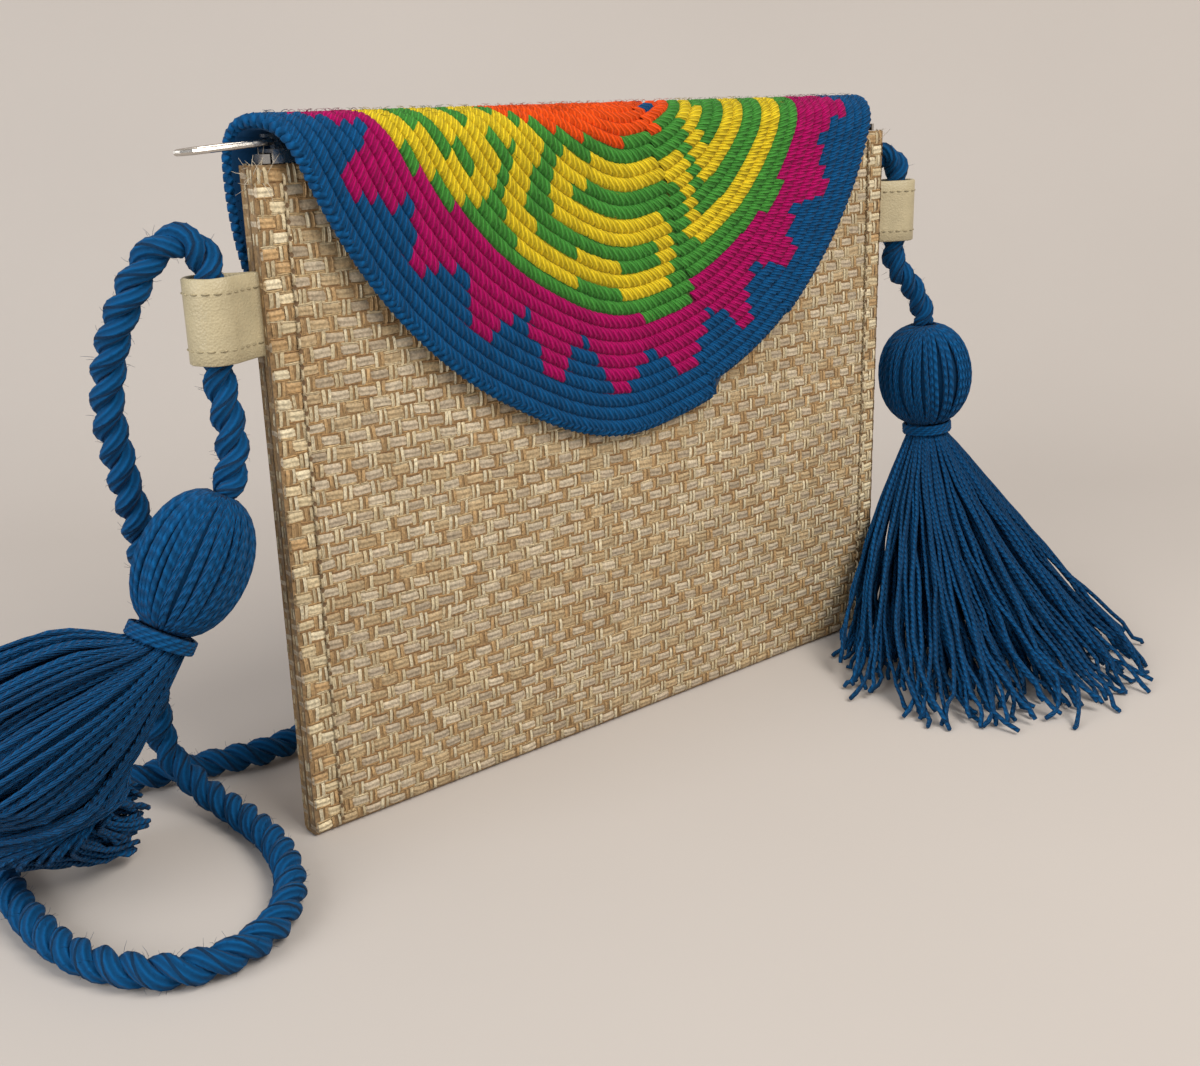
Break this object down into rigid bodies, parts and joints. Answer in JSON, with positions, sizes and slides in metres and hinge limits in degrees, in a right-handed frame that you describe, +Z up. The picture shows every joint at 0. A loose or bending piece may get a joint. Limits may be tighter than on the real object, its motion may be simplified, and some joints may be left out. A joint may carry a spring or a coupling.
{
  "type": "flap clutch bag",
  "caption": "Flat woven straw clutch bag with a crochet flap folded over a zipped mouth, leather side loops, a twisted cord strap and yarn tassels.",
  "frame": {"origin": "middle of the bag's bottom edge, on the surface it stands on", "axes": "+X along the bag's width towards its right side seen from the front, -Y out of the front face, +Z up from the bottom fold to the mouth"},
  "size_m": [0.4113, 0.2005, 0.2031],
  "materials": {
    "straw": "matt woven straw",
    "flap_yarn": "matt crochet cotton yarn",
    "blue_yarn": "soft yarn with a slight sheen",
    "leather": "satin cream leather",
    "zip_tape": "dark woven tape",
    "zip_metal": "polished"
  },
  "bodies": {
    "bag": {"woven_body": "straw", "crochet_flap": "flap_yarn", "leather_loop_left": "leather", "leather_loop_right": "leather", "zip_row_front": "zip_tape", "zip_row_back": "zip_tape", "zip_stop_left": "zip_metal", "zip_stop_right": "zip_metal", "strap_cord": "blue_yarn", "tassel_left_head": "blue_yarn", "tassel_left_binding": "blue_yarn", "tassel_left_skirt": "blue_yarn", "tassel_right_head": "blue_yarn", "tassel_right_binding": "blue_yarn", "tassel_right_skirt": "blue_yarn"},
    "slider": {"zip_slider": "zip_metal"},
    "pull": {"zip_pull": "zip_metal"}
  },
  "joints": [
    {"name": "zip_slide", "type": "slide", "parent": "bag", "child": "slider", "axis": [1, 0, 0], "range_m": [0, 0.228]},
    {"name": "zip_pull_hinge", "type": "hinge", "parent": "slider", "child": "pull", "pos_m": [-0.1179, 0, 0.1956], "axis": [0, 1, 0], "range_deg": [-0.3, 5]}
  ]
}
